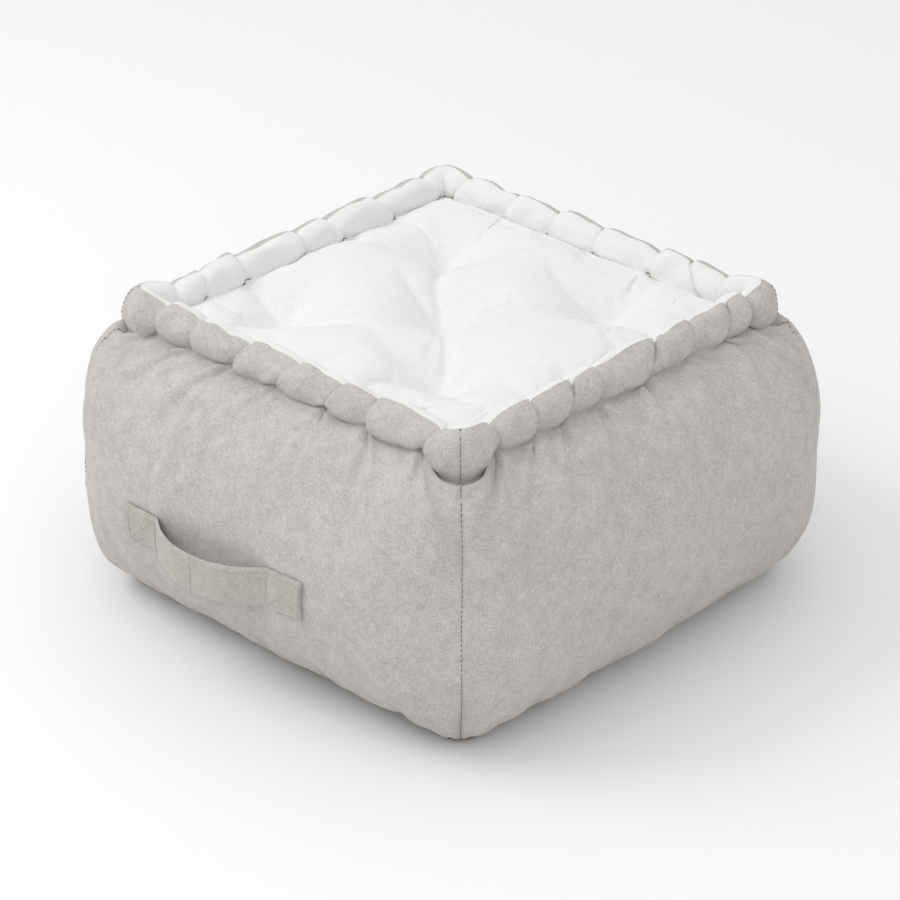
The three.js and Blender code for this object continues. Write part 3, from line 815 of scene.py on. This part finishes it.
class CUSHION_OT_filling(bpy.types.Operator):
    """Build the filling of the body and of the four rolls"""

    bl_idname = "cushion.filling"
    bl_label = "Filling"

    def execute(self, context):
        sizes = context.scene.cushion_sizes
        body = piece(body_filling(), ["body_filling"], "wadding")
        pinches = grooves(sizes)
        for number, side in enumerate(SIDES):
            rope = roll_filling(sizes, pinches, number, side)
            piece(rope, [f"roll_filling_{side}"], "wadding")
        return {"FINISHED"}


class CUSHION_OT_seams(bpy.types.Operator):
    """Sew the corner seams, the crest seam, the base seam and the twine of the rolled edge"""

    bl_idname = "cushion.seams"
    bl_label = "Seams"

    def execute(self, context):
        rows = made["rows"]
        facing = normals(rows)
        for number, side in enumerate(SIDES):
            after = SIDES[(number + 1) % 4]
            column = (number + 1) * COLUMNS % (4 * COLUMNS)
            path, outward = rows[1:CREST_ROW, column], facing[1:CREST_ROW, column]
            line = stitches(path, outward, 0.0036, 0.0014, 0.0003)
            seam = tubes(f"seam_{side}_{after}", line, 0.00036)
            piece(seam, [f"corner_seam_{side}_{after}"], "thread")
        closed = np.append(np.arange(4 * COLUMNS), 0)
        path, outward = rows[CREST_ROW, closed], facing[CREST_ROW, closed]
        rim = stitches(path, outward, 0.0030, 0.0016, 0.0001)
        piece(tubes("crest_stitches", rim, 0.0004), ["crest_seam"], "white_thread")
        hem = stitches(rows[2, closed], facing[2, closed], 0.0045, 0.0020, 0.0002)
        piece(tubes("base_stitches", hem, 0.0005), ["base_seam"], "thread")
        for name, row in (("outer", BELLY_ROWS), ("inner", len(rows) - 1)):
            twine = edge_twine(context.scene.cushion_sizes, rows[row], facing[row])
            piece(tubes(f"twine_{name}", [twine], 0.0007), [f"edge_twine_{name}"], "twine")
        return {"FINISHED"}


def edge_twine(sizes, line, facing):
    """The twine that draws a crease in: inside the cloth between the pinches, and over it at
    each of them."""
    held = np.round(grooves(sizes)[:, 0] * COLUMNS).astype(int)
    column = np.arange(len(line))
    away = np.abs((column[:, None] - held[None] + 2 * COLUMNS) % (4 * COLUMNS) - 2 * COLUMNS)
    over = smooth(1.5 - away.min(1) / 2)
    path = line + facing * (0.0023 * over - 0.0016)[:, None]
    return np.concatenate([path, path[:1]])


class CUSHION_OT_ties(bpy.types.Operator):
    """Tie the seat down: a stitch on top, a cord through the filling and a knot below"""

    bl_idname = "cushion.ties"
    bl_label = "Ties"

    def execute(self, context):
        seat_points = made["seat"].reshape(-1, 3)
        for number, (tx, ty) in enumerate(TUFTS, 1):
            x, y = tx * MM, ty * MM
            away = np.hypot(seat_points[:, 0] - x, seat_points[:, 1] - y)
            top = float(seat_points[away < TIE_REACH, 2].min())
            turn = np.linspace(-1, 1, 9)[:, None]
            height = top + 0.0016 - 0.004 * turn**4
            bars = []
            for angle in (0.4 + number, 1.9 + number):
                way = np.array([[math.cos(angle), math.sin(angle)]]) * 0.0052
                bars.append(np.concatenate([[[x, y]] + turn * way, height], 1))
            shaft = np.array([[x, y, 0.006], [x, y, 0.06], [x, y, 0.16], [x, y, top + 0.001]])
            cord = tubes(f"tie_{number}", [*bars, shaft], 0.0009)
            rise = np.linspace(-1, 1, 7)
            ball = np.stack([x + 0 * rise, y + 0 * rise, 0.0055 + 0.0028 * rise], 1)
            knot = tubes(f"knot_{number}", [ball], 0.0042 * np.sqrt(1.02 - rise**2), 10)
            piece(cord, [f"tuft_tie_{number}"], "white_thread")
            piece(knot, [f"tuft_tie_{number}"], "white_thread")
        return {"FINISHED"}


def strap_stand(x):
    """How far the strap's back stands off the cover at a place across."""
    share = np.clip(np.abs((x - STRAP_MIDDLE) / STRAP_FREE), 0, 1)
    return 0.0008 + STRAP_BOW * (1 - share**2.4)


def strap_point(front, x, dz, depth):
    """A point on the strap: across, up from its middle line, and out from its back."""
    share = (x - STRAP_MIDDLE) / STRAP_HALF
    z = STRAP_MID_Z + STRAP_RISE / 2 * share + dz
    loose = np.clip(1 - abs((x - STRAP_MIDDLE) / STRAP_FREE), 0, 1)
    z -= STRAP_DROOP * math.sin(math.pi * min(loose, 1) / 2)
    here = cover_depth(front, x, z)
    level = cover_depth(front, x, STRAP_MID_Z)
    y = here + (level - here) * smooth(np.array(loose * 4)) - strap_stand(x) - depth
    return np.array([x, float(y), z])


def cover_depth(front, x, z):
    """Where the front of the cover stands, in y, at a place across and up."""
    start = Vector((x + CENTRE[0], -0.6, z))
    hit = front.ray_cast(start, Vector((0, 1, 0)))[0]
    if hit is None:
        raise RuntimeError("the strap reaches past the front of the cover")
    return hit.y - CENTRE[1]


def strap_half(front, name, width, x_from, x_to):
    """Half of the strap as a closed folded band, from one place across to another."""
    count = max(8, round(abs(x_to - x_from) / 0.003))
    half = width / 2
    profile = [(-half, 0.0), (-half, STRAP_THICK * 0.7), (-half * 0.9, STRAP_THICK)]
    profile += [(half * u, STRAP_THICK * (0.94 + 0.06 * abs(u))) for u in np.linspace(-0.8, 0.8, 9)]
    profile += [(half * 0.9, STRAP_THICK), (half, STRAP_THICK * 0.7), (half, 0.0)]
    profile += [(half * u, 0.0) for u in np.linspace(0.85, -0.85, 9)]
    slices = []
    for x in np.linspace(x_from, x_to, count + 1):
        slices.append([strap_point(front, x, dz, depth) for dz, depth in profile])
    slices = np.array(slices)
    grid = number_grid(*slices.shape[:2], 0, True)
    faces = [*quads(grid), grid[0, :-1][::-1], grid[-1, :-1]]
    if x_to > x_from:
        faces = [face[::-1] for face in faces]
    thing = mesh_object(name, slices.reshape(-1, 3) + CENTRE, faces)
    lay_flat(thing, slices.reshape(-1, 3)[:, [0, 2]])
    return thing


def on_strap(front, places):
    """A path on the strap's face through places across and up, with its outward directions."""
    path = np.array([strap_point(front, x, dz, STRAP_THICK) for x, dz in places])
    return path, np.tile([0.0, -1.0, 0.0], (len(path), 1))


def strap_stitching(front, side):
    """The rows of topstitching along half of the strap, and the crossed box on its sewn end."""
    end = STRAP_MIDDLE + side * (STRAP_HALF - 0.003)
    inner = STRAP_MIDDLE + side * (STRAP_FREE + 0.003)
    edge = 0.0170
    lines = []
    for dz in (-edge, edge):
        lines.append([(x, dz) for x in np.linspace(end, STRAP_MIDDLE + side * 0.001, 50)])
    for x in (end, inner):
        lines.append([(x, dz) for dz in np.linspace(-edge, edge, 14)])
    for sign in (-1, 1):
        share = np.linspace(0, 1, 20)
        lines.append([(end + (inner - end) * t, sign * edge * (1 - 2 * t)) for t in share])
    found = []
    for line in lines:
        found += stitches(*on_strap(front, line), 0.0026, 0.0010, 0.0003)
    return found


class CUSHION_OT_strap(bpy.types.Operator):
    """Sew the carrying strap to the front side: its ends are sewn down and its loop stands off the
    cover
    """

    bl_idname = "cushion.strap"
    bl_label = "Strap"

    def execute(self, context):
        sizes = context.scene.cushion_sizes
        faces = quads(made["ring"][: BELLY_ROWS + 1, : COLUMNS + 1])
        cover = [tuple(point) for point in made["rows"].reshape(-1, 3) + CENTRE]
        front = BVHTree.FromPolygons(cover, faces.tolist())
        for side, word in ((-1, "left"), (1, "right")):
            end = STRAP_MIDDLE + side * STRAP_HALF
            strap = strap_half(front, f"strap_{word}", sizes.strap_width, STRAP_MIDDLE, end)
            piece(strap, [f"handle_end_{word}", "handle_loop"], "strap_canvas", "")
            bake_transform(strap)
            sewing = tubes(f"strap_stitches_{word}", strap_stitching(front, side), 0.00042, 5)
            piece(sewing, [f"handle_stitch_{word}"], "pale_thread", "")
            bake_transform(sewing)
        return {"FINISHED"}


class Recipe:
    """A material's node tree, built node by node."""

    def __init__(self, name):
        self.material = bpy.data.materials.new(name)
        self.material.use_nodes = True
        self.tree = self.material.node_tree
        self.shader = self.tree.nodes["Principled BSDF"]

    def node(self, kind, inputs=(), **settings):
        """A new node; an input is a number, a colour or another node's output."""
        new = self.tree.nodes.new(kind)
        for name, value in settings.items():
            setattr(new, name, value)
        for key, value in dict(inputs).items():
            if isinstance(value, bpy.types.NodeSocket):
                self.tree.links.new(value, new.inputs[key])
            else:
                new.inputs[key].default_value = value
        return new

    def math(self, operation, a, b=0.0):
        """A sum, product or sine."""
        return self.node("ShaderNodeMath", {0: a, 1: b}, operation=operation).outputs[0]

    def noise(self, vector, scale, detail=2.0, roughness=0.5):
        """Noise about 0.5 at a scale in turns per metre, stretched if scale is a triple."""
        if isinstance(scale, tuple):
            vector = self.node(
                "ShaderNodeVectorMath", {0: vector, 1: scale}, operation="MULTIPLY"
            ).outputs[0]
            scale = 1.0
        found = self.node(
            "ShaderNodeTexNoise",
            {"Vector": vector, "Scale": scale, "Detail": detail, "Roughness": roughness},
        )
        return found.outputs["Fac"]

    def blend(self, factor, a, b):
        """One colour at factor 0, the other at 1."""
        found = self.node("ShaderNodeMix", data_type="RGBA")
        for socket, value in zip((found.inputs[0], found.inputs[6], found.inputs[7]), (factor, a, b)):
            if isinstance(value, bpy.types.NodeSocket):
                self.tree.links.new(value, socket)
            else:
                socket.default_value = value
        return found.outputs[2]

    def feed(self, name, output):
        """Links an output to the shader."""
        self.tree.links.new(output, self.shader.inputs[name])

    def bump(self, height, distance, strength=1.0):
        """Relief of a height in metres."""
        found = self.node(
            "ShaderNodeBump", {"Height": height, "Distance": distance, "Strength": strength}
        )
        self.feed("Normal", found.outputs[0])


def shade(colour, factor):
    """A colour made darker or lighter."""
    return (*[min(1.0, c * factor) for c in colour], 1)


def woven(name, colour, thread, contrast, slubs):
    """Woven cloth: crossing threads of the given width in metres, slubs and a soft mottling."""
    recipe = Recipe(name)
    flat = recipe.node("ShaderNodeUVMap", uv_map="cloth").outputs[0]
    rate = 1 / thread
    warp = recipe.noise(flat, (rate, rate / 8, 1.0), 1.5)
    weft = recipe.noise(flat, (rate / 9, rate, 1.0), 1.5)
    grain = recipe.math("ADD", recipe.math("MULTIPLY", warp, 0.5), recipe.math("MULTIPLY", weft, 0.5))
    mottle = recipe.noise(flat, 55.0, 3.0, 0.6)
    broad = recipe.noise(flat, 9.0, 2.0)
    level = recipe.math("ADD", grain, recipe.math("MULTIPLY", mottle, 0.35))
    level = recipe.math("ADD", level, recipe.math("MULTIPLY", broad, 0.15))
    ramp = recipe.node(
        "ShaderNodeMapRange", {0: level, 1: 0.58, 2: 0.92, 3: 0.0, 4: 1.0}, clamp=True
    ).outputs[0]
    base = recipe.blend(ramp, shade(colour, 1 - contrast), shade(colour, 1 + contrast))
    thick = recipe.noise(flat, (rate * 0.9, rate / 5, 1.0), 0.0)
    wide = recipe.noise(flat, (rate / 5, rate * 0.9, 1.0), 0.0)
    streak = recipe.math("MAXIMUM", thick, wide)
    fleck = recipe.node(
        "ShaderNodeMapRange", {0: streak, 1: 0.70, 2: 0.78, 3: 0.0, 4: slubs}, clamp=True
    ).outputs[0]
    recipe.feed("Base Color", recipe.blend(fleck, base, shade(colour, 1.45)))
    axes = recipe.node("ShaderNodeSeparateXYZ", {0: flat}).outputs
    over = recipe.math("SINE", recipe.math("MULTIPLY", axes[0], math.tau * rate / 2))
    under = recipe.math("SINE", recipe.math("MULTIPLY", axes[1], math.tau * rate / 2))
    weave = recipe.math("MULTIPLY", over, under)
    height = recipe.math("ADD", recipe.math("MULTIPLY", weave, 0.5), recipe.math("MULTIPLY", grain, 2))
    recipe.bump(recipe.math("ADD", height, recipe.math("MULTIPLY", mottle, 1.2)), 0.0003, 0.7)
    recipe.shader.inputs["Roughness"].default_value = 0.92
    recipe.shader.inputs["Specular IOR Level"].default_value = 0.2
    recipe.shader.inputs["Sheen Weight"].default_value = 0.15
    recipe.shader.inputs["Sheen Roughness"].default_value = 0.6
    return recipe.material


def twisted(name, colour):
    """Thread or twine: a fine twist in two shades."""
    recipe = Recipe(name)
    place = recipe.node("ShaderNodeTexCoord").outputs["Object"]
    fine = recipe.noise(place, 1400.0, 2.0)
    slow = recipe.noise(place, 60.0, 1.0)
    mixed = recipe.math("ADD", recipe.math("MULTIPLY", fine, 0.7), recipe.math("MULTIPLY", slow, 0.3))
    ramp = recipe.node("ShaderNodeMapRange", {0: mixed, 1: 0.35, 2: 0.65}, clamp=True).outputs[0]
    recipe.feed("Base Color", recipe.blend(ramp, shade(colour, 0.75), shade(colour, 1.2)))
    recipe.bump(fine, 0.0003)
    recipe.shader.inputs["Roughness"].default_value = 0.8
    return recipe.material


def tangled(name, colour):
    """Wadding: soft tangled fibres."""
    recipe = Recipe(name)
    place = recipe.node("ShaderNodeTexCoord").outputs["Object"]
    tuft = recipe.noise(place, 90.0, 6.0, 0.7)
    fibre = recipe.noise(place, 900.0, 3.0, 0.7)
    mixed = recipe.math("ADD", recipe.math("MULTIPLY", tuft, 0.6), recipe.math("MULTIPLY", fibre, 0.4))
    ramp = recipe.node("ShaderNodeMapRange", {0: mixed, 1: 0.3, 2: 0.7}, clamp=True).outputs[0]
    recipe.feed("Base Color", recipe.blend(ramp, shade(colour, 0.85), shade(colour, 1.08)))
    recipe.bump(mixed, 0.002)
    recipe.shader.inputs["Roughness"].default_value = 1.0
    return recipe.material


def material(kind):
    """The scene's material of one kind, made when it is first asked for."""
    name = "look_" + kind
    if name in bpy.data.materials:
        return bpy.data.materials[name]
    colours = bpy.context.scene.cushion_colours
    if kind == "grey_canvas":
        return woven(name, colours.canvas, 0.0009, 0.20, 0.6)
    if kind == "strap_canvas":
        return woven(name, colours.strap, 0.0009, 0.18, 0.45)
    if kind == "white_canvas":
        return woven(name, colours.top, 0.00085, 0.03, 0.25)
    if kind == "wadding":
        return tangled(name, colours.wadding)
    return twisted(name, getattr(colours, kind))


class CUSHION_OT_stage(bpy.types.Operator):
    """Set the floor, the studio lights and the camera"""

    bl_idname = "cushion.stage"
    bl_label = "Stage"

    def execute(self, context):
        scene = context.scene
        scene.view_settings.view_transform = "Standard"
        bpy.ops.mesh.primitive_plane_add(size=30, location=(0, 0, -0.0005))
        floor = context.object
        floor.name = "floor"
        plain = Recipe("floor")
        plain.shader.inputs["Base Color"].default_value = shade(scene.cushion_colours.floor, 1)
        plain.shader.inputs["Roughness"].default_value = 0.9
        floor.data.materials.append(plain.material)
        scene.world = studio_light()
        area_light("key", (-1.5, -1.4, 2.2), 1.5, 25)
        area_light("fill", (2.2, -1.4, 1.6), 2.0, 8)
        set_camera(scene)
        return {"FINISHED"}


def studio_light():
    """Soft white light all round, dim at the horizon and bright overhead."""
    world = bpy.data.worlds.new("studio")
    world.use_nodes = True
    tree = world.node_tree
    sky = tree.nodes.new("ShaderNodeTexCoord")
    split = tree.nodes.new("ShaderNodeSeparateXYZ")
    fall = tree.nodes.new("ShaderNodeMapRange")
    tree.links.new(sky.outputs["Generated"], split.inputs[0])
    tree.links.new(split.outputs[2], fall.inputs[0])
    for number, value in enumerate((0.0, 0.8, 0.38, 1.02), 1):
        fall.inputs[number].default_value = value
    tree.links.new(fall.outputs[0], tree.nodes["Background"].inputs["Strength"])
    tree.nodes["Background"].inputs["Color"].default_value = (1, 1, 1, 1)
    return world


def area_light(name, place, size, power):
    """A square soft light, turned to the cushion's foot; its size in metres, its power in watts."""
    light = bpy.data.lights.new(name, "AREA")
    light.size = size
    light.energy = power
    lamp = bpy.data.objects.new(name, light)
    lamp.location = place
    lamp.rotation_euler = (-Vector(place)).to_track_quat("-Z", "Y").to_euler()
    bpy.context.scene.collection.objects.link(lamp)


def set_camera(scene):
    """The camera looks down on the front right corner from 3.2 m away."""
    azimuth, elevation, distance = math.radians(43.55), math.radians(28.0), 3.2444
    target = Vector((CENTRE[0], CENTRE[1], 0.1543))
    level = math.cos(elevation)
    back = Vector((math.sin(azimuth) * level, -math.cos(azimuth) * level, math.sin(elevation)))
    data = bpy.data.cameras.new("camera")
    data.sensor_width = 36
    data.lens = 132.8
    data.shift_x = -0.0017
    data.shift_y = -0.0189
    camera = bpy.data.objects.new("camera", data)
    camera.location = target + back * distance
    camera.rotation_euler = back.to_track_quat("Z", "Y").to_euler()
    scene.collection.objects.link(camera)
    scene.camera = camera


class CUSHION_PT_panel(bpy.types.Panel):
    """The cushion's sizes, colours and pieces"""

    bl_label = "Floor Cushion"
    bl_idname = "CUSHION_PT_panel"
    bl_space_type = "VIEW_3D"
    bl_region_type = "UI"
    bl_category = "Floor Cushion"

    def draw(self, context):
        for group in (context.scene.cushion_sizes, context.scene.cushion_colours):
            box = self.layout.box()
            for name in group.__annotations__:
                box.prop(group, name)
        for operator in OPERATORS:
            self.layout.operator(operator.bl_idname)


OPERATORS = (
    CUSHION_OT_stage,
    CUSHION_OT_cover,
    CUSHION_OT_filling,
    CUSHION_OT_seams,
    CUSHION_OT_ties,
    CUSHION_OT_strap,
)
CLASSES = (CushionSizes, CushionColours, *OPERATORS, CUSHION_PT_panel)


def register():
    for item in CLASSES:
        bpy.utils.register_class(item)
    bpy.types.Scene.cushion_sizes = PointerProperty(type=CushionSizes)
    bpy.types.Scene.cushion_colours = PointerProperty(type=CushionColours)


def unregister():
    del bpy.types.Scene.cushion_colours
    del bpy.types.Scene.cushion_sizes
    for item in reversed(CLASSES):
        bpy.utils.unregister_class(item)


def main():
    register()
    for operator in OPERATORS:
        group, name = operator.bl_idname.split(".")
        getattr(getattr(bpy.ops, group), name)()


if __name__ == "__main__":
    main()
